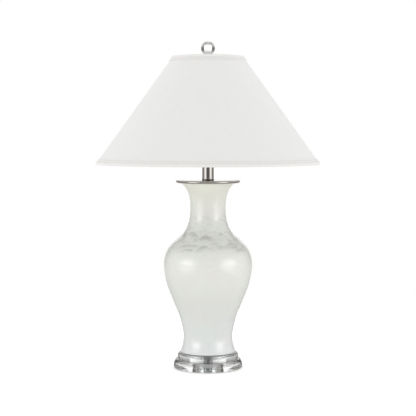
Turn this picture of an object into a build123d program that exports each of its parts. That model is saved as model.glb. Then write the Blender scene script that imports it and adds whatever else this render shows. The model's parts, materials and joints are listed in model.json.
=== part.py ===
from build123d import *
import math
import os

# Table lamp: a glazed vase on two clear acrylic tiers, with a polished neck, a harp, a tapered
# shade and a ball finial. Millimetres. +Z is up, the table is at z = 0, the lamp's axis is the
# Z axis, and the back is +Y.

# ---------------------------------------------------------------- driving dimensions
# Base: two clear tiers on bumpers, with softly convex sides.
FOOT_HEIGHT = 1.5
FOOT_RADIUS = 5.0
FOOT_CIRCLE = 62.0
FOOT_COUNT = 4
FOOT_TAPER = 0.8
LOWER_RADIUS = 78.1
LOWER_HEIGHT = 20.0
UPPER_RADIUS = 68.8
UPPER_HEIGHT = 15.0
SIDE_SWEEP = 25.0
SIDE_STRAIGHT = 5.0
TIER_BOTTOM_ROUND = 1.5
TIER_TOP_ROUND = 1.2
TIER_HOLE = 7.0
RECESS_RADIUS = 25.4
RECESS_DEPTH = 14.0

# Clamping hardware in the recess.
WASHER_RADIUS = 19.0
WASHER_THICKNESS = 1.5
WASHER_CLEARANCE = 0.3
STAR_RADIUS = 9.5
STAR_THICKNESS = 1.0
STAR_TEETH = 12
STAR_SLOT_DEPTH = 2.2
NUT_ACROSS_FLATS = 17.5
NUT_THICKNESS = 5.5

# Cord outlet: a radial channel at the back, closed by a flanged bushing.
CHANNEL_HEIGHT = 9.0
CHANNEL_RADIUS = 4.6
CORD_RADIUS = 3.6
BUSHING_LENGTH = 12.0
BUSHING_FLANGE_RADIUS = 6.0
BUSHING_FLANGE_THICKNESS = 2.0
BUSHING_INSET = 1.0

# Lamp pipe.
PIPE_RADIUS = 5.0
PIPE_BORE = 3.3
PIPE_BOTTOM = 4.5
PIPE_ABOVE_SADDLE = 12.0

# Vase: (radius, height above the table) of its outer surface.
VASE_OUTLINE = [
    (63.6, 38.0),
    (58.2, 54.5),
    (55.8, 73.0),
    (58.4, 93.0),
    (67.2, 124.0),
    (83.2, 163.0),
    (96.4, 200.0),
    (101.9, 234.0),
    (98.6, 259.0),
    (88.2, 279.0),
    (70.8, 295.6),
    (56.6, 309.0),
    (47.0, 325.5),
    (41.6, 345.0),
    (40.4, 364.0),
    (42.4, 388.0),
    (48.2, 405.0),
    (58.6, 418.0),
    (64.4, 426.3),
]
VASE_WALL = 5.0
VASE_EDGE_ROUND = 1.5
VASE_FLOOR = 7.0
FOOT_RING_WIDTH = 9.0
FOOT_RING_DEPTH = 2.5
VASE_FLOOR_FILLET = 6.0
CENTRING_THICKNESS = 6.0
CENTRING_DROP = 2.0
CENTRING_TOP_GAP = 3.5
CENTRING_BOTTOM_GAP = 9.0

# Polished cap and neck.
CAP_RADIUS = 73.6
CAP_TOP = 429.0
CAP_BEAD = 3.3
CAP_SHEET = 1.2
CHECK_RING_RADIUS = 13.7
CHECK_RING_HEIGHT = 4.0
NECK_RADIUS = 13.1
NECK_WALL = 1.2
NECK_WASHER_RADIUS = 13.8
NECK_WASHER_THICKNESS = 2.0

# Harp, saddle and sleeves. The saddle's seat is a harp's height under the shade's seat.
SADDLE_SEAT = 468.0
SADDLE_THICKNESS = 1.6
SADDLE_WIDTH = 12.0
HARP_HEIGHT = 228.6
HARP_LEG_SPACING = 30.0
HARP_WIRE = 2.1
HARP_BELLY = 64.0
HARP_BELLY_START = 45.0
HARP_BELLY_END = 122.0
HARP_TOP_HALF = 30.0
HARP_BENDS = [20.0, 40.0, 60.0, 25.0]
LEG_JOINT_RISE = 12.0
LEG_ABOVE_SLEEVE = 6.0
SLEEVE_RADIUS = 4.0
SLEEVE_LENGTH = 18.0
SLEEVE_COLLAR = 2.5
SLEEVE_STEP = 0.6
RUNNING_CLEARANCE = 0.08
LOCKNUT_ACROSS_FLATS = 15.9
LOCKNUT_THICKNESS = 3.0

# Stud at the top of the harp and finial.
STUD_RADIUS = 3.175
STUD_SEAT_RADIUS = 7.0
STUD_SEAT_HEIGHT = 7.2
STUD_LENGTH = 9.0
HUB_THICKNESS = 2.2
HUB_RADIUS = 16.0
FERRULE_RADIUS = 6.5
FERRULE_WAIST = 5.3
FERRULE_GAP = 0.2
BALL_RADIUS = 15.75
BALL_CENTRE = 725.5
BALL_SEAT_GAP = 0.06

# Lamp holder.
SOCKET_RADIUS = 17.0
SOCKET_WALL = 0.7
SOCKET_CAP_HEIGHT = 22.0
SOCKET_NECK_RADIUS = 8.5
SHELL_RADIUS = 16.1
SHELL_WALL = 0.5
SHELL_RISE = 14.0
SHELL_BEAD = 0.7
SHELL_BEAD_HEIGHT = 1.2
SHELL_TOP = 541.0
INSULATOR_WALL = 0.6
SWITCH_HEIGHT = 500.0
SWITCH_HOLE = 3.5
SWITCH_BODY_RADIUS = 14.4
SWITCH_BODY_BELOW = 8.0
SWITCH_BODY_ABOVE = 7.0
TERMINAL_FLAT = 11.5
TERMINAL_SCREW_RADIUS = 2.8
TERMINAL_SCREW_HEAD = 1.8
SCREW_SHELL_HEIGHT = 25.0
SCREW_SHELL_WALL = 0.5
SCREW_SHELL_HOLE = 7.0
SHAFT_RADIUS = 2.0
SHAFT_START = 2.5
SHAFT_IN_KNOB = 9.0
KNOB_RADIUS = 7.5
KNOB_LENGTH = 13.0
KNOB_START = 24.0
KNOB_FLUTES = 16
KNOB_FLUTE_RADIUS = 0.75

# Bulb.
BULB_BASE_RADIUS = 13.0
BULB_BASE_LENGTH = 22.0
BULB_TIP_HEIGHT = 510.5
BULB_TIP_LENGTH = 2.0
BULB_TIP_RADIUS = 4.6
BULB_INSULATOR_RADIUS = 10.2
BULB_BASE_WALL = 0.5
BULB_BASE_RISE = 4.6
BULB_GLUE_DEPTH = 6.0
BULB_RADIUS = 30.0
BULB_HEIGHT = 110.0
BULB_GLASS = 1.0
BULB_SHOULDER_SHARE = 0.78
BULB_SHOULDER_DROP = 24.0

# Shade: a cone of cloth on a liner, bound over a wire ring at each edge.
SHADE_BOTTOM = 465.2
SHADE_TOP = 707.5
SHADE_BOTTOM_RADIUS = 253.2
SHADE_TOP_RADIUS = 79.0
CLOTH = 0.6
LINER = 1.0
RING_WIRE = 1.6
TRIM_WIDTH = 14.0
TRIM_ROLL = 8.0
TRIM_TAPE = 1.0
TRIM_ROLL_PROUD = 2.1
TRIM_INNER_WIDTH = 9.0
TRIM_INNER_TAPE = 0.9
TRIM_STEP = 0.4
SPOKE_WIRE = 1.7
SPOKE_COUNT = 3
SPOKE_LEVEL_RUN = 16.0
SPOKE_HUB_RUN = 10.0
SPOKE_HUB_OVERLAP = 2.5
SPOKE_RISE = 0.6
SPOKE_BEND = 8.0

# ---------------------------------------------------------------- levels worked out from them
LOWER_BOTTOM = FOOT_HEIGHT
LOWER_TOP = LOWER_BOTTOM + LOWER_HEIGHT
UPPER_TOP = LOWER_TOP + UPPER_HEIGHT
RECESS_TOP = LOWER_BOTTOM + RECESS_DEPTH
CAP_UNDERSIDE = CAP_TOP - CAP_SHEET
NECK_BOTTOM = CAP_TOP + CHECK_RING_HEIGHT
NECK_TOP = SADDLE_SEAT - NECK_WASHER_THICKNESS
SADDLE_TOP = SADDLE_SEAT + SADDLE_THICKNESS
SOCKET_BOTTOM = SADDLE_TOP + LOCKNUT_THICKNESS
SHADE_SEAT = SADDLE_SEAT + HARP_HEIGHT
STUD_SEAT_BOTTOM = SHADE_SEAT - STUD_SEAT_HEIGHT
HARP_TOP_CENTRE = STUD_SEAT_BOTTOM + HARP_WIRE + 0.4
STUD_TOP = SHADE_SEAT + STUD_LENGTH
FERRULE_BOTTOM = SHADE_SEAT + HUB_THICKNESS + FERRULE_GAP
SWITCH_BODY_BOTTOM = SWITCH_HEIGHT - SWITCH_BODY_BELOW
SWITCH_BODY_TOP = SWITCH_HEIGHT + SWITCH_BODY_ABOVE
SHADE_HEIGHT = SHADE_TOP - SHADE_BOTTOM
SHADE_SLANT = math.hypot(SHADE_BOTTOM_RADIUS - SHADE_TOP_RADIUS, SHADE_HEIGHT)
LEAN_SIN = (SHADE_BOTTOM_RADIUS - SHADE_TOP_RADIUS) / SHADE_SLANT
LEAN_COS = SHADE_HEIGHT / SHADE_SLANT
EDGE_ROUND = (TRIM_ROLL_PROUD + CLOTH + LINER + RING_WIRE) / 2
SHELL_START = EDGE_ROUND + RING_WIRE
BOTTOM_ORIGIN = (SHADE_BOTTOM_RADIUS, SHADE_BOTTOM)
TOP_ORIGIN = (SHADE_TOP_RADIUS, SHADE_TOP)


# ---------------------------------------------------------------- helpers
def turned(outline):
    """Solid of revolution about Z from a closed outline of (radius, height)."""
    return revolve(Plane.XZ * make_face(outline), Axis.Z)


def turned_points(*points):
    """Solid of revolution with straight edges."""
    return turned(Polyline(*points, close=True))


def disc(radius, bottom, top, hole=0.0):
    """Flat round disc between two heights, with an optional centre hole."""
    centre = (Align.CENTER, Align.CENTER, Align.MIN)
    solid = Pos(0, 0, bottom) * Cylinder(radius, top - bottom, align=centre)
    if hole > 0:
        solid -= Pos(0, 0, bottom - 1) * Cylinder(hole, top - bottom + 2, align=centre)
    return solid


def rod(start, end, radius):
    """Round bar between two points."""
    start = Vector(*start)
    end = Vector(*end)
    plane = Plane(origin=start, z_dir=end - start)
    return extrude(plane * Circle(radius), (end - start).length)


def hex_nut(across_flats, bottom, top, hole):
    """Hexagonal nut with chamfered corners."""
    corner = across_flats / math.sqrt(3)
    bevel = corner - across_flats / 2
    blank = Pos(0, 0, bottom) * extrude(RegularPolygon(corner, 6), top - bottom)
    cone = turned_points(
        (hole, bottom),
        (corner - bevel, bottom),
        (corner + 0.01, bottom + bevel * 0.6),
        (corner + 0.01, top - bevel * 0.6),
        (corner - bevel, top),
        (hole, top),
    )
    return blank & cone


def around(count, make):
    """Separate copies about the Z axis, as one compound."""
    return Compound([make(index * 360.0 / count) for index in range(count)])


# ---------------------------------------------------------------- base
def tier_outline(radius, height, bottom, hole):
    """Half section of a clear tier: straight low down, then swept in towards the top."""
    top = bottom + height
    widest = bottom + SIDE_STRAIGHT
    sweep_top = top - TIER_TOP_ROUND
    rise = sweep_top - widest
    shoulder = radius - SIDE_SWEEP + math.sqrt(SIDE_SWEEP**2 - rise**2)
    half = math.asin(rise / SIDE_SWEEP) / 2
    middle = (
        radius - SIDE_SWEEP + SIDE_SWEEP * math.cos(half),
        widest + SIDE_SWEEP * math.sin(half),
    )
    quarter = TIER_BOTTOM_ROUND * (1 - math.sqrt(0.5))
    eased = TIER_TOP_ROUND * 0.35
    return [
        Line((hole, bottom), (radius - TIER_BOTTOM_ROUND, bottom)),
        ThreePointArc(
            (radius - TIER_BOTTOM_ROUND, bottom),
            (radius - quarter, bottom + quarter),
            (radius, bottom + TIER_BOTTOM_ROUND),
        ),
        Line((radius, bottom + TIER_BOTTOM_ROUND), (radius, widest)),
        ThreePointArc((radius, widest), middle, (shoulder, sweep_top)),
        ThreePointArc(
            (shoulder, sweep_top),
            (shoulder - 2 * eased, top - eased),
            (shoulder - 2 * TIER_TOP_ROUND, top),
        ),
        Line((shoulder - 2 * TIER_TOP_ROUND, top), (hole, top)),
        Line((hole, top), (hole, bottom)),
    ]


def base_lower_tier():
    body = turned(tier_outline(LOWER_RADIUS, LOWER_HEIGHT, LOWER_BOTTOM, TIER_HOLE))
    body -= disc(RECESS_RADIUS, LOWER_BOTTOM - 1, RECESS_TOP)
    channel_start = (0, RECESS_RADIUS - 3, CHANNEL_HEIGHT)
    body -= rod(channel_start, (0, LOWER_RADIUS + 5, CHANNEL_HEIGHT), CHANNEL_RADIUS)
    seat = LOWER_RADIUS - BUSHING_INSET - BUSHING_FLANGE_THICKNESS
    seat_start = (0, seat, CHANNEL_HEIGHT)
    body -= rod(seat_start, (0, LOWER_RADIUS + 5, CHANNEL_HEIGHT), BUSHING_FLANGE_RADIUS)
    return body


def base_upper_tier():
    return turned(tier_outline(UPPER_RADIUS, UPPER_HEIGHT, LOWER_TOP, TIER_HOLE))


def base_feet():
    def foot(angle):
        return Rot(0, 0, angle + 45) * Pos(FOOT_CIRCLE, 0, 0) * turned_points(
            (0, 0), (FOOT_RADIUS - FOOT_TAPER, 0), (FOOT_RADIUS, FOOT_HEIGHT), (0, FOOT_HEIGHT)
        )

    return around(FOOT_COUNT, foot)


def base_washer():
    hole = PIPE_RADIUS + WASHER_CLEARANCE
    return disc(WASHER_RADIUS, RECESS_TOP - WASHER_THICKNESS, RECESS_TOP, hole)


def base_star_washer():
    top = RECESS_TOP - WASHER_THICKNESS
    ring = disc(STAR_RADIUS, top - STAR_THICKNESS, top, PIPE_RADIUS + WASHER_CLEARANCE)
    gap = STAR_RADIUS * math.pi / STAR_TEETH / 2
    for index in range(STAR_TEETH):
        slot = Pos(STAR_RADIUS, 0, top - STAR_THICKNESS / 2) * Box(
            2 * STAR_SLOT_DEPTH, gap, 2 * STAR_THICKNESS
        )
        ring -= Rot(0, 0, index * 360.0 / STAR_TEETH) * slot
    return ring


def base_hex_nut():
    top = RECESS_TOP - WASHER_THICKNESS - STAR_THICKNESS
    return hex_nut(NUT_ACROSS_FLATS, top - NUT_THICKNESS, top, PIPE_RADIUS)


def cord_bushing():
    flange_outer = LOWER_RADIUS - BUSHING_INSET
    seat = flange_outer - BUSHING_FLANGE_THICKNESS
    inner = flange_outer - BUSHING_LENGTH
    body = rod((0, inner, CHANNEL_HEIGHT), (0, flange_outer, CHANNEL_HEIGHT), CHANNEL_RADIUS)
    body += rod((0, seat, CHANNEL_HEIGHT), (0, flange_outer, CHANNEL_HEIGHT), BUSHING_FLANGE_RADIUS)
    body -= rod((0, inner - 1, CHANNEL_HEIGHT), (0, flange_outer + 1, CHANNEL_HEIGHT), CORD_RADIUS)
    return body


# ---------------------------------------------------------------- column
def lamp_pipe():
    return disc(PIPE_RADIUS, PIPE_BOTTOM, SADDLE_SEAT + PIPE_ABOVE_SADDLE, PIPE_BORE)


def vase_inner_outline():
    """The outer outline moved in by the wall's thickness, square to the surface."""
    points = []
    for index in range(1, len(VASE_OUTLINE) - 1):
        low = VASE_OUTLINE[index - 1]
        high = VASE_OUTLINE[index + 1]
        length = math.hypot(high[0] - low[0], high[1] - low[1])
        radius, height = VASE_OUTLINE[index]
        points.append(
            (
                radius - VASE_WALL * (high[1] - low[1]) / length,
                height + VASE_WALL * (high[0] - low[0]) / length,
            )
        )
    return points


def vase_body():
    inner = vase_inner_outline()
    foot_radius, foot_round_top = VASE_OUTLINE[0]
    lip_radius, lip_round_bottom = VASE_OUTLINE[-1]
    floor_top = UPPER_TOP + FOOT_RING_DEPTH + VASE_FLOOR
    ring_inside = foot_radius - FOOT_RING_WIDTH
    recess_top = UPPER_TOP + FOOT_RING_DEPTH
    turn = VASE_EDGE_ROUND * (1 - math.sqrt(0.5))
    lip_inner = lip_radius - VASE_WALL
    outline = [
        Line((TIER_HOLE, recess_top), (ring_inside, recess_top)),
        Line((ring_inside, recess_top), (ring_inside, UPPER_TOP)),
        Line((ring_inside, UPPER_TOP), (foot_radius - VASE_EDGE_ROUND, UPPER_TOP)),
        ThreePointArc(
            (foot_radius - VASE_EDGE_ROUND, UPPER_TOP),
            (foot_radius - turn, UPPER_TOP + turn),
            (foot_radius, foot_round_top),
        ),
        Spline(*VASE_OUTLINE),
        ThreePointArc(
            (lip_radius, lip_round_bottom),
            (lip_radius - turn, CAP_UNDERSIDE - turn),
            (lip_radius - VASE_EDGE_ROUND, CAP_UNDERSIDE),
        ),
        Line((lip_radius - VASE_EDGE_ROUND, CAP_UNDERSIDE), (lip_inner, CAP_UNDERSIDE)),
        Line((lip_inner, CAP_UNDERSIDE), inner[-1]),
        Spline(*reversed(inner)),
        Line(inner[0], (inner[0][0] - VASE_FLOOR_FILLET, floor_top)),
        Line((inner[0][0] - VASE_FLOOR_FILLET, floor_top), (TIER_HOLE, floor_top)),
        Line((TIER_HOLE, floor_top), (TIER_HOLE, recess_top)),
    ]
    return turned(outline)


def mouth_centring_disc():
    """Rubber disc wedged in the vase's flared mouth, tapered like the wall."""
    top = CAP_UNDERSIDE - CENTRING_DROP
    bottom = top - CENTRING_THICKNESS
    lip_inner = VASE_OUTLINE[-1][0] - VASE_WALL
    return turned_points(
        (PIPE_RADIUS + 0.2, bottom),
        (lip_inner - CENTRING_BOTTOM_GAP, bottom),
        (lip_inner - CENTRING_TOP_GAP, top),
        (PIPE_RADIUS + 0.2, top),
    )


def vase_cap():
    """Spun cap: a flat sheet with its edge rolled under into a bead."""
    bead_radius = CAP_RADIUS - CAP_BEAD
    bead_height = CAP_TOP - CAP_BEAD
    reach = math.sqrt(CAP_BEAD**2 - (CAP_UNDERSIDE - bead_height) ** 2)
    under = (bead_radius - reach, CAP_UNDERSIDE)
    over = (bead_radius, CAP_TOP)
    outline = [
        Line((PIPE_RADIUS, CAP_UNDERSIDE), under),
        ThreePointArc(under, (CAP_RADIUS, bead_height), over),
        Line(over, (PIPE_RADIUS, CAP_TOP)),
        Line((PIPE_RADIUS, CAP_TOP), (PIPE_RADIUS, CAP_UNDERSIDE)),
    ]
    return turned(outline)


def neck_check_ring():
    """Collar with a small waist, so that it reads as a bead at the foot of the neck."""
    top = CAP_TOP + CHECK_RING_HEIGHT
    return turned_points(
        (PIPE_RADIUS, CAP_TOP),
        (CHECK_RING_RADIUS - 0.5, CAP_TOP),
        (CHECK_RING_RADIUS - 0.5, CAP_TOP + 0.7),
        (CHECK_RING_RADIUS, CAP_TOP + 1.2),
        (CHECK_RING_RADIUS, top - 0.6),
        (CHECK_RING_RADIUS - 0.6, top),
        (PIPE_RADIUS, top),
    )


def neck_tube():
    return disc(NECK_RADIUS, NECK_BOTTOM, NECK_TOP, NECK_RADIUS - NECK_WALL)


def neck_top_washer():
    return disc(NECK_WASHER_RADIUS, NECK_TOP, SADDLE_SEAT, PIPE_RADIUS)


# ---------------------------------------------------------------- harp
def harp_saddle():
    """Flat bar with an upright post at each end, which the harp's legs stand on."""
    bar_half = HARP_LEG_SPACING + SLEEVE_RADIUS + 1
    bar = Pos(0, 0, SADDLE_SEAT + SADDLE_THICKNESS / 2) * Box(
        SADDLE_WIDTH, 2 * bar_half, SADDLE_THICKNESS
    )
    bar = fillet(bar.edges().filter_by(Axis.Z), SADDLE_WIDTH * 0.4)
    bar -= disc(PIPE_RADIUS, SADDLE_SEAT - 1, SADDLE_TOP + 1)
    for side in (-1, 1):
        low = (0, side * HARP_LEG_SPACING, SADDLE_SEAT)
        high = (0, side * HARP_LEG_SPACING, SADDLE_TOP + LEG_JOINT_RISE)
        bar += rod(low, high, HARP_WIRE)
    return bar


def saddle_locknut():
    return hex_nut(LOCKNUT_ACROSS_FLATS, SADDLE_TOP, SOCKET_BOTTOM, PIPE_RADIUS)


def harp():
    """Bent wire: straight legs for the sleeves, a belly round the bulb, a flat top."""
    start = SADDLE_TOP + LEG_JOINT_RISE
    leg_top = start + SLEEVE_LENGTH + LEG_ABOVE_SLEEVE
    half = [
        (HARP_LEG_SPACING, start),
        (HARP_LEG_SPACING, leg_top),
        (HARP_BELLY, leg_top + HARP_BELLY_START),
        (HARP_BELLY, leg_top + HARP_BELLY_END),
        (HARP_TOP_HALF, HARP_TOP_CENTRE),
    ]
    points = half + [(-y, z) for y, z in reversed(half)]
    route = FilletPolyline(
        *[(0, y, z) for y, z in points], radius=HARP_BENDS + HARP_BENDS[::-1]
    )
    return sweep(Plane(route @ 0, z_dir=route % 0) * Circle(HARP_WIRE), route)


def harp_stud():
    """Seat clamped over the harp's top, with the threaded stud that takes the finial."""
    body = disc(STUD_SEAT_RADIUS, STUD_SEAT_BOTTOM, SHADE_SEAT)
    body += disc(STUD_RADIUS, SHADE_SEAT, STUD_TOP)
    wire_half = (0, -STUD_SEAT_RADIUS - 2, HARP_TOP_CENTRE)
    body -= rod(wire_half, (0, STUD_SEAT_RADIUS + 2, HARP_TOP_CENTRE), HARP_WIRE)
    return body


def harp_sleeve(side):
    low = SADDLE_TOP
    high = low + SLEEVE_LENGTH
    bore = HARP_WIRE + RUNNING_CLEARANCE
    sleeve = turned_points(
        (bore, low),
        (SLEEVE_RADIUS, low),
        (SLEEVE_RADIUS, low + SLEEVE_COLLAR),
        (SLEEVE_RADIUS - SLEEVE_STEP, low + SLEEVE_COLLAR + SLEEVE_STEP),
        (SLEEVE_RADIUS - SLEEVE_STEP, high - 2 * SLEEVE_STEP),
        (SLEEVE_RADIUS - 2.4 * SLEEVE_STEP, high),
        (bore, high),
    )
    return Pos(0, side * HARP_LEG_SPACING, 0) * sleeve


# ---------------------------------------------------------------- lamp holder
def socket_cap():
    """Spun lower shell, domed out from the pipe."""
    low = SOCKET_BOTTOM
    high = low + SOCKET_CAP_HEIGHT
    neck_top = low + 5.0
    waist = (13.0, low + 8.0)
    dome_top = low + 13.0
    return turned_points(
        (PIPE_RADIUS, low),
        (SOCKET_NECK_RADIUS, low),
        (SOCKET_NECK_RADIUS, neck_top),
        waist,
        (SOCKET_RADIUS, dome_top),
        (SOCKET_RADIUS, high),
        (SOCKET_RADIUS - SOCKET_WALL, high),
        (SOCKET_RADIUS - SOCKET_WALL, dome_top + 0.4),
        (waist[0] - 0.4, waist[1] + 0.8),
        (SOCKET_NECK_RADIUS - SOCKET_WALL, neck_top + 0.6),
        (PIPE_RADIUS, neck_top + 0.6),
    )


def switch_opening():
    start = (SHELL_RADIUS / 2, 0, SWITCH_HEIGHT)
    return rod(start, (SHELL_RADIUS + 4, 0, SWITCH_HEIGHT), SWITCH_HOLE)


def socket_shell():
    """Shell round the lamp holder, with a beaded mouth and a hole for the switch shaft."""
    inside = SHELL_RADIUS - SHELL_WALL
    shell = disc(SHELL_RADIUS, SOCKET_BOTTOM + SHELL_RISE, SHELL_TOP, inside)
    shell += disc(SHELL_RADIUS + SHELL_BEAD, SHELL_TOP - SHELL_BEAD_HEIGHT, SHELL_TOP, inside)
    return shell - switch_opening()


def socket_insulator():
    outer = SHELL_RADIUS - SHELL_WALL - 0.1
    low = SOCKET_BOTTOM + SHELL_RISE + 0.5
    return disc(outer, low, SHELL_TOP - 2.0, outer - INSULATOR_WALL) - switch_opening()


def socket_body():
    body = disc(SWITCH_BODY_RADIUS, SWITCH_BODY_BOTTOM, SWITCH_BODY_TOP)
    cut = 10.0
    wide = 2 * SWITCH_BODY_RADIUS + 1
    tall = 2 * (SWITCH_BODY_ABOVE + SWITCH_BODY_BELOW)
    for side in (-1, 1):
        flat = Pos(0, side * (TERMINAL_FLAT + cut / 2), SWITCH_HEIGHT)
        body -= flat * Box(wide, cut, tall)
    shaft_bore = SHAFT_RADIUS + RUNNING_CLEARANCE
    bore_start = (SHAFT_START - 0.5, 0, SWITCH_HEIGHT)
    return body - rod(bore_start, (SWITCH_BODY_RADIUS + 5, 0, SWITCH_HEIGHT), shaft_bore)


def socket_terminal_screws():
    face = (0, TERMINAL_FLAT, SWITCH_HEIGHT)
    head = (0, TERMINAL_FLAT + TERMINAL_SCREW_HEAD, SWITCH_HEIGHT)

    def screw(angle):
        return Rot(0, 0, angle) * rod(face, head, TERMINAL_SCREW_RADIUS)

    return around(2, screw)


def socket_screw_shell():
    inside = BULB_BASE_RADIUS + RUNNING_CLEARANCE
    outside = inside + SCREW_SHELL_WALL
    low = SWITCH_BODY_TOP
    high = low + SCREW_SHELL_HEIGHT
    return turned_points(
        (SCREW_SHELL_HOLE, low),
        (outside, low),
        (outside, high),
        (inside, high),
        (inside, low + SCREW_SHELL_WALL),
        (SCREW_SHELL_HOLE, low + SCREW_SHELL_WALL),
    )


def socket_centre_contact():
    """Sprung leaf bent up towards the bulb's tip."""
    low = SWITCH_BODY_TOP
    sprung = low + 2.4
    thick = 0.5
    width = 4.0
    leaf = Polyline(
        (-5, low),
        (-3, low),
        (0, sprung),
        (3, sprung),
        (3, sprung + thick),
        (-0.2, sprung + thick),
        (-3.2, low + thick),
        (-5, low + thick),
        close=True,
    )
    return Pos(0, width / 2, 0) * extrude(Plane.XZ * make_face(leaf), width)


def switch_shaft():
    end = (KNOB_START + SHAFT_IN_KNOB, 0, SWITCH_HEIGHT)
    return rod((SHAFT_START, 0, SWITCH_HEIGHT), end, SHAFT_RADIUS)


def switch_knob():
    """Fluted turn knob on the switch shaft."""
    knob = turned_points(
        (0, 0),
        (KNOB_RADIUS - 1.5, 0),
        (KNOB_RADIUS, 1.5),
        (KNOB_RADIUS - 0.6, KNOB_LENGTH - 1.5),
        (KNOB_RADIUS - 2.0, KNOB_LENGTH),
        (0, KNOB_LENGTH),
    )
    for index in range(KNOB_FLUTES):
        angle = index * 360.0 / KNOB_FLUTES
        flute = Pos(KNOB_RADIUS + KNOB_FLUTE_RADIUS / 3, 0, 0) * disc(
            KNOB_FLUTE_RADIUS, -1, KNOB_LENGTH + 1
        )
        knob -= Rot(0, 0, angle) * flute
    knob -= disc(SHAFT_RADIUS, -1, SHAFT_IN_KNOB)
    return Pos(KNOB_START, 0, SWITCH_HEIGHT) * Rot(0, 90, 0) * knob


# ---------------------------------------------------------------- bulb
def bulb_tip():
    low = BULB_TIP_HEIGHT
    high = low + BULB_TIP_LENGTH
    return turned_points(
        (0, low),
        (BULB_TIP_RADIUS - 1.6, low),
        (BULB_TIP_RADIUS, low + 1.2),
        (BULB_TIP_RADIUS, high),
        (0, high),
    )


def bulb_insulator():
    low = BULB_TIP_HEIGHT + BULB_TIP_LENGTH
    high = BULB_TIP_HEIGHT + BULB_BASE_RISE
    return turned_points(
        (0, low), (BULB_TIP_RADIUS, low), (BULB_INSULATOR_RADIUS, high), (0, high)
    )


def bulb_screw_base():
    low = BULB_TIP_HEIGHT + BULB_BASE_RISE
    high = low + BULB_BASE_LENGTH
    inside = BULB_BASE_RADIUS - BULB_BASE_WALL
    return turned_points(
        (0, low),
        (BULB_INSULATOR_RADIUS, low),
        (BULB_BASE_RADIUS, low + 2.4),
        (BULB_BASE_RADIUS, high),
        (inside, high),
        (inside, low + 2.8),
        (BULB_INSULATOR_RADIUS - 0.2, low + BULB_BASE_WALL),
        (0, low + BULB_BASE_WALL),
    )


def bulb_half(shrink, low, base_top, crown):
    """Half section of the glass, moved in by `shrink`: neck, belly, crown and the axis."""
    neck = BULB_BASE_RADIUS - BULB_GLASS - shrink
    belly = BULB_RADIUS - shrink
    belly_height = crown - belly
    return [
        Line((0, low), (neck, low)),
        Line((neck, low), (neck, base_top)),
        Spline(
            (neck, base_top),
            (belly * BULB_SHOULDER_SHARE, belly_height - BULB_SHOULDER_DROP),
            (belly, belly_height),
            tangents=[(0, 1), (0, 1)],
        ),
        RadiusArc((belly, belly_height), (0, crown), -belly),
        Line((0, crown), (0, low)),
    ]


def bulb_envelope():
    base_top = BULB_TIP_HEIGHT + BULB_BASE_RISE + BULB_BASE_LENGTH
    low = base_top - BULB_GLUE_DEPTH
    crown = BULB_TIP_HEIGHT + BULB_HEIGHT
    solid = turned(bulb_half(0, low, base_top, crown))
    return solid - turned(bulb_half(BULB_GLASS, low, base_top, crown - BULB_GLASS))


# ---------------------------------------------------------------- shade
def on_slant(origin, along, out, direction):
    """Point `along` the slant from an edge and `out` from the cloth's outer face.

    direction is 1 up the slant from the bottom edge and -1 down it from the top edge.
    """
    return (
        origin[0] - direction * along * LEAN_SIN + out * LEAN_COS,
        origin[1] + direction * along * LEAN_COS + out * LEAN_SIN,
    )


def shade_skin(outside, thickness):
    """Cone of sheet between the two wire rings, `outside` from the cloth's outer face."""
    return turned_points(
        on_slant(BOTTOM_ORIGIN, SHELL_START, outside, 1),
        on_slant(TOP_ORIGIN, SHELL_START, outside, -1),
        on_slant(TOP_ORIGIN, SHELL_START, outside - thickness, -1),
        on_slant(BOTTOM_ORIGIN, SHELL_START, outside - thickness, 1),
    )


def shade_fabric():
    return shade_skin(0, CLOTH)


def shade_liner():
    return shade_skin(-CLOTH, LINER)


def ring_centre(origin, direction):
    return on_slant(origin, EDGE_ROUND, -(CLOTH + LINER) / 2, direction)


def wire_ring(origin, direction):
    radius, height = ring_centre(origin, direction)
    return Pos(0, 0, height) * Torus(radius, RING_WIRE)


def trim(origin, direction):
    """Bound edge: tape on the cloth, rolled over the wire ring and down the inside."""
    inside = -(CLOTH + LINER)
    roll_in = TRIM_ROLL_PROUD - 2 * EDGE_ROUND
    middle = TRIM_ROLL_PROUD - EDGE_ROUND
    keyhole = EDGE_ROUND + math.sqrt(RING_WIRE**2 - (inside / 2) ** 2)

    def at(along, out):
        return on_slant(origin, along, out, direction)

    tape_edge = TRIM_WIDTH - TRIM_STEP
    roll_foot = TRIM_ROLL + TRIM_STEP
    roll_top = TRIM_ROLL - TRIM_STEP
    inner_edge = TRIM_INNER_WIDTH + TRIM_STEP
    inner_face = inside - TRIM_INNER_TAPE
    outline = [
        Line(at(TRIM_WIDTH, 0), at(tape_edge, TRIM_TAPE)),
        Line(at(tape_edge, TRIM_TAPE), at(roll_foot, TRIM_TAPE)),
        Line(at(roll_foot, TRIM_TAPE), at(roll_top, TRIM_ROLL_PROUD)),
        Line(at(roll_top, TRIM_ROLL_PROUD), at(EDGE_ROUND, TRIM_ROLL_PROUD)),
        ThreePointArc(at(EDGE_ROUND, TRIM_ROLL_PROUD), at(0, middle), at(EDGE_ROUND, roll_in)),
        Line(at(EDGE_ROUND, roll_in), at(TRIM_INNER_WIDTH, inner_face)),
        Line(at(TRIM_INNER_WIDTH, inner_face), at(inner_edge, inside)),
        Line(at(inner_edge, inside), at(keyhole, inside)),
        ThreePointArc(at(keyhole, inside), at(EDGE_ROUND - RING_WIRE, inside / 2), at(keyhole, 0)),
        Line(at(keyhole, 0), at(TRIM_WIDTH, 0)),
    ]
    return turned(outline)


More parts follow.
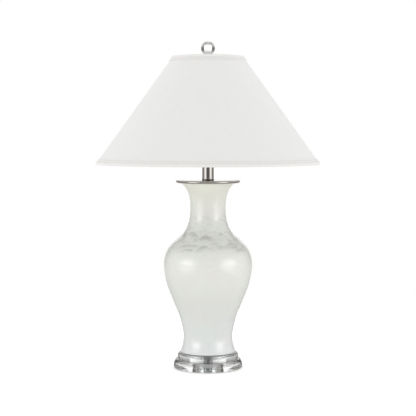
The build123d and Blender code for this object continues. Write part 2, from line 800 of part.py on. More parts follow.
def spoke(angle, extra=0.0):
    """Wire from the top ring in and down to the hub."""
    ring_radius, ring_height = ring_centre(TOP_ORIGIN, -1)
    hub_height = SHADE_SEAT + HUB_THICKNESS / 2 + SPOKE_RISE
    route = FilletPolyline(
        (ring_radius, 0, ring_height),
        (ring_radius - SPOKE_LEVEL_RUN, 0, ring_height),
        (HUB_RADIUS + SPOKE_HUB_RUN, 0, hub_height),
        (HUB_RADIUS - SPOKE_HUB_OVERLAP, 0, hub_height),
        radius=SPOKE_BEND,
    )
    section = Circle(SPOKE_WIRE + extra)
    wire = sweep(Plane(route @ 0, z_dir=route % 0) * section, route)
    return Rot(0, 0, 90 + angle) * wire


def shade_spokes():
    cut = wire_ring(TOP_ORIGIN, -1) + shade_hub_washer()
    return around(SPOKE_COUNT, lambda angle: spoke(angle) - cut)


def shade_hub_washer():
    bore = STUD_RADIUS + RUNNING_CLEARANCE
    low = SHADE_SEAT
    high = SHADE_SEAT + HUB_THICKNESS
    edge = 0.5
    return turned_points(
        (bore, low),
        (HUB_RADIUS - edge, low),
        (HUB_RADIUS, low + edge),
        (HUB_RADIUS, high - edge),
        (HUB_RADIUS - edge, high),
        (bore, high),
    )


def shade_top_trim():
    edge = trim(TOP_ORIGIN, -1)
    for index in range(SPOKE_COUNT):
        edge -= spoke(index * 360.0 / SPOKE_COUNT, extra=0.05)
    return edge


# ---------------------------------------------------------------- finial
def finial_ferrule():
    """Round foot of the finial, bored for the stud and cupped for the ball."""
    low = FERRULE_BOTTOM
    cup = BALL_CENTRE - math.sqrt(BALL_RADIUS**2 - FERRULE_RADIUS**2)
    bore = STUD_RADIUS + RUNNING_CLEARANCE
    body = turned_points(
        (bore, low),
        (FERRULE_RADIUS, low),
        (FERRULE_RADIUS, low + 3.0),
        (FERRULE_WAIST, low + 4.2),
        (FERRULE_WAIST, cup - 3.0),
        (FERRULE_RADIUS, cup - 1.6),
        (FERRULE_RADIUS, cup - 0.1),
        (0, cup - 0.1),
        (0, STUD_TOP + 1.0),
        (bore, STUD_TOP + 1.0),
    )
    return body - Pos(0, 0, BALL_CENTRE) * Sphere(BALL_RADIUS + BALL_SEAT_GAP)


def finial_ball():
    return Pos(0, 0, BALL_CENTRE) * Sphere(BALL_RADIUS)


# ---------------------------------------------------------------- write every node
PARTS = {
    "base_feet": base_feet,
    "base_lower_tier": base_lower_tier,
    "base_upper_tier": base_upper_tier,
    "base_washer": base_washer,
    "base_star_washer": base_star_washer,
    "base_hex_nut": base_hex_nut,
    "cord_bushing": cord_bushing,
    "lamp_pipe": lamp_pipe,
    "vase_body": vase_body,
    "mouth_centring_disc": mouth_centring_disc,
    "vase_cap": vase_cap,
    "neck_check_ring": neck_check_ring,
    "neck_tube": neck_tube,
    "neck_top_washer": neck_top_washer,
    "harp_saddle": harp_saddle,
    "saddle_locknut": saddle_locknut,
    "harp": harp,
    "harp_stud": harp_stud,
    "harp_sleeve_front": lambda: harp_sleeve(-1),
    "harp_sleeve_back": lambda: harp_sleeve(1),
    "socket_cap": socket_cap,
    "socket_shell": socket_shell,
    "socket_insulator": socket_insulator,
    "socket_body": socket_body,
    "socket_terminal_screws": socket_terminal_screws,
    "socket_screw_shell": socket_screw_shell,
    "socket_centre_contact": socket_centre_contact,
    "switch_shaft": switch_shaft,
    "switch_knob": switch_knob,
    "bulb_tip": bulb_tip,
    "bulb_insulator": bulb_insulator,
    "bulb_screw_base": bulb_screw_base,
    "bulb_envelope": bulb_envelope,
    "shade_fabric": shade_fabric,
    "shade_liner": shade_liner,
    "shade_top_ring": lambda: wire_ring(TOP_ORIGIN, -1),
    "shade_bottom_ring": lambda: wire_ring(BOTTOM_ORIGIN, 1),
    "shade_spokes": shade_spokes,
    "shade_hub_washer": shade_hub_washer,
    "shade_top_trim": shade_top_trim,
    "shade_bottom_trim": lambda: trim(BOTTOM_ORIGIN, 1),
    "finial_ferrule": finial_ferrule,
    "finial_ball": finial_ball,
}

os.makedirs("parts", exist_ok=True)
for node, make in PARTS.items():
    export_step(make(), f"parts/{node}.step")
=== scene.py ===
import json
import math

import bpy
from mathutils import Matrix, Vector, noise

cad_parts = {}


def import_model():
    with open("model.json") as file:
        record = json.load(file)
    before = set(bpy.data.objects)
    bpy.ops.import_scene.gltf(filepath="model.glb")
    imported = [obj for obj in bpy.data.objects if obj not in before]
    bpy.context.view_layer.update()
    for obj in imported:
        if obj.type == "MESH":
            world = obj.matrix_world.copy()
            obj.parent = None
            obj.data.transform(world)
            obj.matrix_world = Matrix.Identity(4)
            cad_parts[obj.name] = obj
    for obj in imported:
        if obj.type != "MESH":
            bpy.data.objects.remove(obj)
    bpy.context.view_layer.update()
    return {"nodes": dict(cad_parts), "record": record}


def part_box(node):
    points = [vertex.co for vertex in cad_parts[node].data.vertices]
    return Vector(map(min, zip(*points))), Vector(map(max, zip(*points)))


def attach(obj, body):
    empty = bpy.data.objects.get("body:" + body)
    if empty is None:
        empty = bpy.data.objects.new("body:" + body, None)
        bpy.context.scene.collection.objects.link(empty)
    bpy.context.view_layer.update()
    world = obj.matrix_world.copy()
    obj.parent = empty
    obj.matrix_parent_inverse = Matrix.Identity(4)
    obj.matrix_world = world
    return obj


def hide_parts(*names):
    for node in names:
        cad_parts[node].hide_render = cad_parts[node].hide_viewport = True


# Looks of the table lamp: glaze, cloth, polished nickel, clear acrylic and crystal on the CAD frame.
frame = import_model()
MM = 0.001
TAU = math.tau

# Outlines: a shorter segment stays straight, a smaller bend is no bend, and a smaller radius is on
# the axis.
SHORTEST_ROUND = 0.4 * MM
STRAIGHT = 1e-4
ON_AXIS = 1e-6

# Glaze: its colour by share of the vase's height.
GLAZE_STOPS = (
    (0.0, (0.87, 0.89, 0.89, 1.0)),
    (0.12, (0.83, 0.85, 0.83, 1.0)),
    (0.3, (0.81, 0.83, 0.785, 1.0)),
    (0.5, (0.845, 0.85, 0.80, 1.0)),
    (0.75, (0.84, 0.86, 0.815, 1.0)),
    (1.0, (0.89, 0.88, 0.78, 1.0)),
)
GLAZE_CRYSTAL = (0.46, 0.47, 0.44, 1.0)
# Painted shade along the lowest millimetres of the foot, where it stands on the upper tier.
FOOT_PAINTED_SHADE = (0.12, 0.115, 0.11, 1.0)

# Petal marks in the glaze: width in metres, how much they are flattened, turn in radians, and
# strength of each layer. Then how much of the crystal colour a mark and the haze round it show.
PETAL_LAYERS = ((0.030, 1.6, 0.3, 1.0), (0.024, 1.3, 2.3, 0.9), (0.016, 1.2, 1.1, 0.65))
MARK_SHARE = 0.75
HAZE_SHARE = 0.10

# Where the marks start, thin out and end, from one share of the vase's height to another.
MARKS_START = (0.575, 0.62)
MARKS_THIN = (0.69, 0.74)
MARKS_END = (0.77, 0.83)
MARKS_BELOW = (0.38, 0.52)
MARKS_AT_FOOT = (0.05, 0.15)

# Bluish bloom in the glaze: degrees to the right of the front, its share of the vase's height,
# the radii between which it fades, and its colour.
BLOOM_TURN = 52.0
BLOOM_RISE = 0.2
BLOOM_FADE = (0.006, 0.022)
BLOOM_BLUE = (0.60, 0.66, 0.74, 1.0)

# Cloth: its thickness, its waviness, and the streaks of uneven thread, as turns per metre along
# and across a thread.
CLOTH_THICKNESS = 0.55 * MM
CLOTH_WAVE = 0.09 * MM
STREAK_ALONG = 40.0
STREAK_ACROSS = 900.0

# Binding of the shade's edges: its own edge, where its fold lies, and how strong and wide the painted
# shade along a crease is.
BINDING_EDGE = 0.6 * MM
BINDING_FOLD = 0.6
CREASE_PAINTED_SHADE = 0.86
CREASE_WIDTH = 1.6 * MM

# Lamp pipe: its thread, and the radius inside which the upper tier's faces are its bore.
THREAD_PITCH = 0.94 * MM
THREAD_DEPTH = 0.55 * MM
THREAD_ROWS = 6
PIPE_BORE_LIMIT = 8.5 * MM

# Studio: how bright each side is in reflections and through clear matter. The front is -Y.
WALL_BY_CAMERA = 0.15
WALL = 0.38
WALL_BEHIND = 0.15
BACKDROP = 1.05
CEILING = 0.32
CEILING_THROUGH = 0.6
FLOOR_GLOW = 0.36
SWEEP_EDGE = (0.892, 0.914)
WARM_DARKS = (1.0, 0.955, 0.92, 1.0)
WHITE = (1.0, 1.0, 1.0, 1.0)

# Even fill that lights the surfaces, and how much more comes from the sides.
FILL = 0.835
SIDE_FILL = 0.52

# Two soft lamps as (degrees to the side of the front, elevation): added brightness, the angles
# from the middle between which it fades, and how it dims towards the floor.
LAMPS = ((-54.0, 0.0), (55.0, 0.0))
LAMP_GLOW = 2.7
LAMP_CORE = 8.0
LAMP_EDGE = 29.0
LAMP_LOW = (0.0, 0.12)
LAMP_LOW_SHARE = 0.4

# Floor: half its side, and the glow that brings it up to the backdrop's white.
FLOOR_HALF = 0.9
FLOOR_LIFT = 0.42

# Camera: where it stands, how far it is tipped down in degrees, and its lens in millimetres.
CAMERA_PLACE = (0.0, -2.72, 0.5339)
CAMERA_TIP = 3.55
CAMERA_LENS = 103.8
CAMERA_SENSOR = 36.0


# ---------------------------------------------------------------- reading the frame
def section(node):
    """The CAD node's cut in the half plane y = 0, x > 0: its points as an ordered list of
    (radius, height), and whether they close into a loop.

    A turned part has a run of mesh edges in that plane, so this is its exact outline.
    """
    mesh = frame["nodes"][node].data

    def key(vertex):
        return round(vertex.co.x, 7), round(vertex.co.z, 7)

    flat = [abs(v.co.y) < 1e-7 and v.co.x > -1e-7 for v in mesh.vertices]
    next_to = {}
    for edge in mesh.edges:
        a, b = edge.vertices
        if flat[a] and flat[b]:
            first, second = key(mesh.vertices[a]), key(mesh.vertices[b])
            if first != second:
                next_to.setdefault(first, set()).add(second)
                next_to.setdefault(second, set()).add(first)
    ends = sorted(p for p, others in next_to.items() if len(others) == 1)
    point = ends[0] if ends else min(next_to)
    loop, last = [point], None
    while True:
        choices = sorted(p for p in next_to[point] if p != last and p not in loop[1:])
        if not choices or choices[0] == loop[0]:
            break
        point, last = choices[0], point
        loop.append(point)
    return loop, not ends


def smooth_outline(points, closed, pieces=4, corner=math.radians(24)):
    """The outline with its round stretches divided more finely; corners and straights stay."""
    count = len(points)
    made = []

    def at(index):
        if closed:
            return Vector(points[index % count])
        return Vector(points[min(max(index, 0), count - 1)])

    def bend(index):
        before, after = at(index) - at(index - 1), at(index + 1) - at(index)
        if before.length < 1e-9 or after.length < 1e-9:
            return math.pi
        return before.angle(after)

    def is_round(index):
        return STRAIGHT < bend(index) < corner

    for index in range(count if closed else count - 1):
        start, end = at(index), at(index + 1)
        made.append(tuple(start))
        chord = (end - start).length
        if chord < SHORTEST_ROUND or not (is_round(index) or is_round(index + 1)):
            continue
        leave = end - start
        arrive = end - start
        if bend(index) < corner:
            leave = (end - at(index - 1)).normalized() * chord
        if bend(index + 1) < corner:
            arrive = (at(index + 2) - start).normalized() * chord
        for step in range(1, pieces):
            t = step / pieces
            blend = t * t * (3 - 2 * t)
            curve = start * (1 - blend) + end * blend
            curve += leave * (t * (1 - t) ** 2) - arrive * (t * t * (1 - t))
            made.append(tuple(curve))
    if not closed:
        made.append(tuple(at(count - 1)))
    return made


# ---------------------------------------------------------------- mesh helpers
def mesh_piece(name, vertices, faces, uvs=None, sharp=35):
    """Smooth-shaded mesh object from lists; uvs holds one pair for each corner of each face."""
    mesh = bpy.data.meshes.new(name)
    mesh.from_pydata(vertices, [], faces)
    if uvs:
        layer = mesh.uv_layers.new(name="UVMap")
        flat = [value for corner in uvs for value in corner]
        layer.data.foreach_set("uv", flat)
    mesh.validate()
    mesh.polygons.foreach_set("use_smooth", [True] * len(mesh.polygons))
    mesh.set_sharp_from_angle(angle=math.radians(sharp))
    piece = bpy.data.objects.new(name, mesh)
    bpy.context.scene.collection.objects.link(piece)
    return piece


def lathe(name, outline, closed, steps, shape=None, sharp=35):
    """Turns an outline of (radius, height) about Z.

    shape(radius, height, angle, index) may move a point; it returns the new (radius, height).
    UVs are metres: round the widest radius, and along the outline. Faces look outward, whichever
    way the outline winds.
    """
    count = len(outline)
    wide = max(r for r, z in outline)
    along = [0.0]
    for index in range(count):
        a, b = Vector(outline[index]), Vector(outline[(index + 1) % count])
        along.append(along[-1] + (b - a).length)
    vertices, rings = [], []
    for index, (radius, height) in enumerate(outline):
        if radius < ON_AXIS:
            rings.append([len(vertices)] * steps)
            vertices.append((0, 0, height))
            continue
        ring = []
        for step in range(steps):
            angle = TAU * step / steps
            r, z = shape(radius, height, angle, index) if shape else (radius, height)
            ring.append(len(vertices))
            vertices.append((r * math.cos(angle), r * math.sin(angle), z))
        rings.append(ring)
    area = sum(
        outline[i][0] * outline[(i + 1) % count][1] - outline[(i + 1) % count][0] * outline[i][1]
        for i in range(count)
    )
    faces, uvs = [], []
    for index in range(count if closed else count - 1):
        low, high = rings[index], rings[(index + 1) % count]
        for step in range(steps):
            after = (step + 1) % steps
            corners = [
                (low[step], step, index),
                (low[after], step + 1, index),
                (high[after], step + 1, index + 1),
                (high[step], step, index + 1),
            ]
            if area < 0:
                corners.reverse()
            kept, seen = [], set()
            for vertex, turn, row in corners:
                if vertex not in seen:
                    seen.add(vertex)
                    kept.append((vertex, turn, row))
            if len(kept) < 3:
                continue
            faces.append([vertex for vertex, turn, row in kept])
            uvs += [(wide * TAU * turn / steps, along[row]) for vertex, turn, row in kept]
    return mesh_piece(name, vertices, faces, uvs, sharp)


def turned_copy(name, node, body, steps=160, shape=None, pieces=4, sharp=35):
    """Fine turned piece with the CAD node's own outline, riding in its place."""
    points, closed = section(node)
    outline = smooth_outline(points, closed, pieces)
    piece = lathe(name, outline, closed, steps, shape, sharp)
    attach(piece, body)
    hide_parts(node)
    return piece


# ---------------------------------------------------------------- material helpers
def add_node(tree, kind, inputs=None, **settings):
    """Adds a shader node. Each input is a constant or another node's output socket."""
    made = tree.nodes.new("ShaderNode" + kind)
    for name, value in settings.items():
        setattr(made, name, value)
    for name, value in (inputs or {}).items():
        if isinstance(value, bpy.types.NodeSocket):
            tree.links.new(value, made.inputs[name])
        else:
            made.inputs[name].default_value = value
    return made


def new_material(name, constants):
    """Material with one Principled shader, and the constants set on its own sockets."""
    made = bpy.data.materials.new(name)
    made.use_nodes = True
    tree = made.node_tree
    shader = tree.nodes["Principled BSDF"]
    for socket, value in constants.items():
        shader.inputs[socket].default_value = value
    return made, tree, shader


def maths(tree, operation, first, second=0.0, third=0.0, clamp=False):
    """One Math node; each operand is a constant or a socket."""
    values = {0: first, 1: second}
    if operation == "MULTIPLY_ADD":
        values[2] = third
    made = add_node(tree, "Math", values, operation=operation, use_clamp=clamp)
    return made.outputs[0]


def between(tree, value, low, high, to_low=0.0, to_high=1.0):
    """Smooth step of a value from low..high to to_low..to_high."""
    made = add_node(
        tree,
        "MapRange",
        {"Value": value, "From Min": low, "From Max": high, "To Min": to_low, "To Max": to_high},
        interpolation_type="SMOOTHSTEP",
    )
    return made.outputs["Result"]


def mixed(tree, factor, first, second, blend="MIX"):
    """Mix of two colours; each is a constant or a socket."""
    made = tree.nodes.new("ShaderNodeMix")
    made.data_type = "RGBA"
    made.blend_type = blend
    for index, value in ((0, factor), (6, first), (7, second)):
        if isinstance(value, bpy.types.NodeSocket):
            tree.links.new(value, made.inputs[index])
        else:
            made.inputs[index].default_value = value
    return made.outputs[2]


def bumped(tree, shader, height, distance, strength, normal=None):
    """Bump from a height socket; distance is in metres."""
    inputs = {"Height": height, "Distance": distance, "Strength": strength}
    if normal:
        inputs["Normal"] = normal
    made = add_node(tree, "Bump", inputs)
    tree.links.new(made.outputs[0], shader.inputs["Normal"])
    return made.outputs[0]


def object_place(tree):
    """Object coordinates, which are the frame's own metres."""
    return add_node(tree, "TexCoord").outputs["Object"]


def part_of(tree, axis, vector):
    """One component of a vector socket."""
    return add_node(tree, "SeparateXYZ", {0: vector}).outputs[axis]


def object_height(tree):
    """Height above the ground, in metres."""
    return part_of(tree, "Z", object_place(tree))


def scaled(tree, vector, factors):
    """The vector with each component multiplied by its own factor."""
    made = add_node(tree, "VectorMath", {0: vector, 1: factors}, operation="MULTIPLY")
    return made.outputs[0]


def noise_of(tree, place, scale, detail, roughness=0.5):
    """Soft cloudy noise from 0 to 1; scale is in turns per metre."""
    inputs = {"Vector": place, "Scale": scale, "Detail": detail, "Roughness": roughness}
    return add_node(tree, "TexNoise", inputs).outputs["Fac"]


def grey_of(tree, level):
    """Grey of a level, as a colour."""
    return add_node(tree, "CombineColor", {0: level, 1: level, 2: level}).outputs[0]


def blend_levels(tree, factor, first, second):
    """Mix of two grey levels."""
    made = add_node(tree, "Mix", {"Factor": factor, "A": first, "B": second}, data_type="FLOAT")
    return made.outputs[0]


def tinted(tree, tone, level):
    """A tone darkened by a level."""
    return mixed(tree, 1.0, tone, grey_of(tree, level), "MULTIPLY")


def rgb(red, green, blue):
    return (red, green, blue, 1.0)


# ---------------------------------------------------------------- materials
def petals(tree, place, size, flatten, turn):
    """Soft overlapping petal marks, `size` metres wide, each darker towards its upper edge."""
    squeeze = (1.0 / size, 1.0 / size, flatten / size)
    moved = add_node(
        tree, "Mapping", {"Vector": place, "Rotation": (0.0, 0.0, turn), "Scale": squeeze}
    )
    drift = add_node(tree, "TexNoise", {"Vector": moved.outputs[0], "Scale": 1.6, "Detail": 1.0})
    lean = add_node(tree, "VectorMath", {0: drift.outputs["Color"]}, operation="MULTIPLY_ADD")
    lean.inputs[1].default_value = (0.55, 0.55, 0.45)
    tree.links.new(moved.outputs[0], lean.inputs[2])
    cells = add_node(tree, "TexVoronoi", {"Vector": lean.outputs[0], "Scale": 1.0})
    blob = between(tree, cells.outputs["Distance"], 0.42, 0.72, 1.0, 0.0)
    offset = add_node(
        tree, "VectorMath", {0: lean.outputs[0], 1: cells.outputs["Position"]}, operation="SUBTRACT"
    )
    crest = between(tree, part_of(tree, "Z", offset.outputs[0]), -0.15, 0.5, 0.10, 1.0)
    chance = add_node(tree, "SeparateColor", {0: cells.outputs["Color"]}).outputs[0]
    picked = between(tree, chance, 0.05, 0.7, 0.1, 1.0)
    return maths(tree, "MULTIPLY", maths(tree, "MULTIPLY", blob, crest), picked)


def radius_at(node, height):
    """Outer radius of a turned node near a height."""
    points = section(node)[0]
    return max(r for r, z in points if abs(z - height) < 20 * MM)


def glaze_ground(tree, place, rise):
    """Colour of the plain glaze: a ramp up the vase, with a faint pearly drift."""
    ramp = add_node(tree, "ValToRGB", {"Fac": rise})
    stops = ramp.color_ramp.elements
    stops[0].position, stops[0].color = GLAZE_STOPS[0]
    stops[1].position, stops[1].color = GLAZE_STOPS[-1]
    for position, colour in GLAZE_STOPS[1:-1]:
        stops.new(position).color = colour
    pearl = between(tree, noise_of(tree, place, 22.0, 2.0), 0.36, 0.64)
    tint = mixed(tree, pearl, rgb(1.0, 0.985, 0.992), rgb(0.985, 1.0, 0.995))
    return mixed(tree, 1.0, ramp.outputs["Color"], tint, "MULTIPLY")


def glaze_marks(tree, place, step):
    """Petal marks where they show, and the band on the shoulder where they crowd.

    step(shares, low, high) goes from low to high between two shares of the vase's height.
    """
    marks = 0.0
    for size, flatten, turn, strength in PETAL_LAYERS:
        layer = maths(tree, "MULTIPLY", petals(tree, place, size, flatten, turn), strength)
        marks = maths(tree, "MAXIMUM", layer, marks)
    end = step(MARKS_END, 1.0, 0.0)
    band = maths(tree, "MULTIPLY", step(MARKS_START, 0.0, 1.0), step(MARKS_THIN, 1.0, 0.38))
    band = maths(tree, "MULTIPLY", band, end)
    below = maths(tree, "MULTIPLY", step(MARKS_BELOW, 0.0, 0.12), end)
    shown = maths(tree, "MAXIMUM", maths(tree, "MAXIMUM", band, below), step(MARKS_AT_FOOT, 0.16, 0.0))
    return maths(tree, "MULTIPLY", marks, shown), band


def glaze_bloom(tree, place, low, high):
    """How strongly the bluish bloom shows, round its place on the surface."""
    height = low.z + BLOOM_RISE * (high.z - low.z)
    radius = radius_at("vase_body", height)
    turn = math.radians(BLOOM_TURN)
    middle = (radius * math.sin(turn), -radius * math.cos(turn), height)
    away = add_node(tree, "VectorMath", {0: place, 1: middle}, operation="DISTANCE")
    ragged = noise_of(tree, place, 90.0, 2.0)
    ragged = maths(tree, "MULTIPLY_ADD", ragged, 0.014, away.outputs["Value"])
    return between(tree, ragged, *BLOOM_FADE, 0.45, 0.0)


def glaze():
    """Pearly off-white glaze, warm at the neck and cool at the foot, with grey crystals run
    together like petals on the shoulder."""
    made, tree, shader = new_material(
        "pearl_glaze",
        {"Roughness": 0.3, "IOR": 1.5, "Coat Weight": 1.0, "Coat Roughness": 0.06, "Coat IOR": 1.5},
    )
    place = object_place(tree)
    height = object_height(tree)
    low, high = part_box("vase_body")
    span = high.z - low.z

    def step(shares, start, end):
        first, last = (low.z + share * span for share in shares)
        return between(tree, height, first, last, start, end)

    rise = add_node(
        tree, "MapRange", {"Value": height, "From Min": low.z, "From Max": high.z}
    ).outputs["Result"]
    colour = glaze_ground(tree, place, rise)
    marks, band = glaze_marks(tree, place, step)
    haze = maths(tree, "MULTIPLY", band, HAZE_SHARE)
    amount = maths(tree, "ADD", maths(tree, "MULTIPLY", marks, MARK_SHARE), haze, clamp=True)
    colour = mixed(tree, amount, colour, GLAZE_CRYSTAL)
    # Painted shade: the glaze turns near black over the foot's lowest 2.4 mm, where it meets the tier.
    foot = between(tree, height, low.z + 1.2 * MM, low.z + 2.4 * MM, 0.8, 0.0)
    colour = mixed(tree, foot, colour, FOOT_PAINTED_SHADE)
    colour = mixed(tree, glaze_bloom(tree, place, low, high), colour, BLOOM_BLUE)
    tree.links.new(colour, shader.inputs["Base Color"])

    peel = noise_of(tree, place, 60.0, 1.0)
    soft = bumped(tree, shader, peel, 0.2 * MM, 0.3)
    bumped(tree, shader, marks, 0.2 * MM, 0.4, soft)
    return made


def cloth(name, tone, pitch, slub=0.04, creases=()):
    """Plain weave over the piece's own UVs, which are metres of flat cloth.

    Pitch is from thread to thread, slub is how much uneven threads darken it, and creases are
    heights where a folded edge gets a thin line of painted shade.
    """
    made, tree, shader = new_material(
        name,
        {
            "Roughness": 0.88,
            "Sheen Weight": 0.25,
            "Sheen Roughness": 0.5,
            "IOR": 1.45,
            "Specular IOR Level": 0.25,
        },
    )
    place = add_node(tree, "UVMap").outputs[0]
    turn = math.pi / pitch
    warp = maths(tree, "COSINE", maths(tree, "MULTIPLY", part_of(tree, "X", place), turn))
    weft = maths(tree, "COSINE", maths(tree, "MULTIPLY", part_of(tree, "Y", place), turn))
    over = maths(tree, "GREATER_THAN", maths(tree, "MULTIPLY", warp, weft), 0.0)
    warp_up = maths(tree, "MULTIPLY", maths(tree, "ABSOLUTE", warp), over)
    weft_up = maths(
        tree, "MULTIPLY", maths(tree, "ABSOLUTE", weft), maths(tree, "SUBTRACT", 1.0, over)
    )
    weave = maths(tree, "ADD", warp_up, weft_up)
    across = noise_of(tree, scaled(tree, place, (STREAK_ALONG, STREAK_ACROSS, 0.0)), 1.0, 2.0)
    down = noise_of(tree, scaled(tree, place, (STREAK_ACROSS, STREAK_ALONG, 0.0)), 1.0, 2.0)
    threads = maths(tree, "ADD", across, down)
    light = between(tree, threads, 0.6, 1.4, 1.0 - slub, 1.0)
    gap = between(tree, weave, 0.0, 0.9, 0.93, 1.0)
    level = maths(tree, "MULTIPLY", light, gap)
    height = object_height(tree)
    # Painted shade: a thin darker line at each crease height of the binding.
    for crease in creases:
        off = maths(tree, "ABSOLUTE", maths(tree, "SUBTRACT", height, crease))
        crease_shade = between(tree, off, 0.0, CREASE_WIDTH, CREASE_PAINTED_SHADE, 1.0)
        level = maths(tree, "MULTIPLY", level, crease_shade)
    tree.links.new(tinted(tree, tone, level), shader.inputs["Base Color"])
    bumped(tree, shader, maths(tree, "MULTIPLY_ADD", threads, 0.5, weave), 0.08 * MM, 0.5)
    return made


def trim_creases():
    """Heights of the binding's own edge and of its fold, at the bottom and the top of the shade."""
    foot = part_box("shade_bottom_trim")
    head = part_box("shade_top_trim")
    return (
        foot[1].z - BINDING_EDGE,
        foot[0].z + BINDING_FOLD * (foot[1].z - foot[0].z),
        head[0].z + BINDING_EDGE,
        head[1].z - BINDING_FOLD * (head[1].z - head[0].z),
    )


def styrene():
    """Milky liner behind the cloth, finely pebbled."""
    made, tree, shader = new_material("shade_styrene", {"Roughness": 0.4, "IOR": 1.5})
    place = object_place(tree)
    spots = noise_of(tree, place, 35.0, 3.0)
    colour = mixed(tree, spots, rgb(0.70, 0.70, 0.68), rgb(0.75, 0.75, 0.73))
    tree.links.new(colour, shader.inputs["Base Color"])
    bumped(tree, shader, noise_of(tree, place, 900.0, 2.0), 0.06 * MM, 0.4)
    return made


def metal(name, tone, roughness, squeeze, grain, bump=0.01 * MM, metallic=1.0):
    """Plated metal: fine grain in the gloss, and a trace of unevenness in the colour.

    Squeeze packs the grain into level lines, and grain is how far it moves the roughness.
    """
    made, tree, shader = new_material(name, {"Metallic": metallic})
    place = object_place(tree)
    lines = noise_of(tree, scaled(tree, place, (1.0, 1.0, squeeze)), 60.0, 4.0, 0.6)
    gloss = add_node(
        tree,
        "MapRange",
        {
            "Value": lines,
            "From Min": 0.3,
            "From Max": 0.7,
            "To Min": roughness - grain,
            "To Max": roughness + grain,
        },
    )
    tree.links.new(gloss.outputs["Result"], shader.inputs["Roughness"])
    worn = between(tree, noise_of(tree, place, 18.0, 3.0), 0.35, 0.65, 0.95, 1.0)
    tree.links.new(tinted(tree, tone, worn), shader.inputs["Base Color"])
    bumped(tree, shader, lines, bump, 0.3)
    return made


def clear(name, ior, tone, roughness, ripple_scale, ripple):
    """Clear solid with a faint ripple left by polishing or turning."""
    made, tree, shader = new_material(
        name, {"Transmission Weight": 1.0, "IOR": ior, "Roughness": roughness}
    )
    place = object_place(tree)
    cast = noise_of(tree, place, 9.0, 1.0)
    colour = mixed(tree, cast, tone, rgb(*[min(1.0, c * 1.01) for c in tone[:3]]))
    tree.links.new(colour, shader.inputs["Base Color"])
    bumped(tree, shader, noise_of(tree, place, ripple_scale, 1.0), ripple, 0.3)
    return made


def plastic(name, tone, roughness, grain_scale=700.0, grain=0.04 * MM):
    """Moulded or pressed matter: fine grain in gloss and surface, and faint blotches."""
    made, tree, shader = new_material(name, {"IOR": 1.5})
    place = object_place(tree)
    grainy = noise_of(tree, place, grain_scale, 3.0)
    gloss = between(tree, grainy, 0.3, 0.7, roughness - 0.05, roughness + 0.05)
    tree.links.new(gloss, shader.inputs["Roughness"])
    blotch = between(tree, noise_of(tree, place, 90.0, 2.0), 0.3, 0.7, 0.94, 1.0)
    tree.links.new(tinted(tree, tone, blotch), shader.inputs["Base Color"])
    bumped(tree, shader, grainy, grain, 0.5)
    return made


def frosted():
    """Bulb glass, white inside."""
    made, tree, shader = new_material(
        "frosted_glass",
        {"Transmission Weight": 0.35, "Roughness": 0.35, "IOR": 1.5, "Coat Weight": 0.6},
    )
    place = object_place(tree)
    dust = noise_of(tree, place, 260.0, 2.0)
    colour = mixed(tree, dust, rgb(0.88, 0.88, 0.86), rgb(0.93, 0.93, 0.915))
    tree.links.new(colour, shader.inputs["Base Color"])
    return made


MATERIALS = {
    "pearl_glaze": glaze(),
    "shade_cloth": cloth("shade_cloth", rgb(0.85, 0.85, 0.838), 0.45 * MM),
    "trim_cloth": cloth("trim_cloth", rgb(0.865, 0.855, 0.835), 0.6 * MM, 0.05, trim_creases()),
    "shade_styrene": styrene(),
    "polished_nickel": metal("polished_nickel", rgb(0.63, 0.605, 0.575), 0.07, 1.0, 0.015),
    "nickel_shell": metal("nickel_shell", rgb(0.74, 0.71, 0.67), 0.24, 6.0, 0.05, 0.02 * MM),
    "zinc_steel": metal("zinc_steel", rgb(0.84, 0.86, 0.90), 0.3, 1.0, 0.06, 0.03 * MM, 0.7),
    "brass": metal("brass", rgb(0.80, 0.60, 0.27), 0.22, 1.0, 0.06),
    "thread_aluminium": metal("thread_aluminium", rgb(0.80, 0.81, 0.82), 0.25, 1.0, 0.05),
    "clear_acrylic": clear("clear_acrylic", 1.49, rgb(0.975, 0.985, 0.98), 0.0, 30.0, 0.04 * MM),
    "clear_vinyl": clear("clear_vinyl", 1.5, rgb(0.9, 0.92, 0.92), 0.25, 200.0, 0.05 * MM),
    "crystal": clear("crystal", 1.52, rgb(0.985, 0.99, 0.99), 0.0, 20.0, 0.01 * MM),
    "translucent_plastic": plastic("translucent_plastic", rgb(0.82, 0.82, 0.79), 0.4),
    "black_plastic": plastic("black_plastic", rgb(0.03, 0.03, 0.032), 0.42),
    "black_rubber": plastic("black_rubber", rgb(0.03, 0.03, 0.03), 0.7),
    "black_glass": plastic("black_glass", rgb(0.02, 0.017, 0.025), 0.12),
    "paper_liner": plastic("paper_liner", rgb(0.36, 0.3, 0.23), 0.85, 1500.0, 0.1 * MM),
    "white_wire": plastic("white_wire", rgb(0.82, 0.82, 0.80), 0.45, 1200.0),
    "frosted_glass": frosted(),
}
MACHINED = clear("machined_acrylic", 1.49, rgb(0.95, 0.96, 0.97), 0.05, 700.0, 0.12 * MM)


def finish_piece(piece, slot):
    """Gives a piece its one material, and the slot it stands for."""
    piece.data.materials.clear()
    piece.data.materials.append(MATERIALS[slot])
    return piece


# ---------------------------------------------------------------- base
def machined_faces(piece, limit, channel=None):
    """Gives bores and recesses, the faces inside `limit`, their own duller surface.

    A channel is (radius, height) of a round hole along +Y.
    """
    piece.data.materials.append(MACHINED)
    for face in piece.data.polygons:
        middle = face.center
        inside = math.hypot(middle.x, middle.y) < limit
        if channel and middle.y > 0:
            inside |= math.hypot(middle.x, middle.z - channel[1]) < channel[0]
        face.material_index = int(inside)


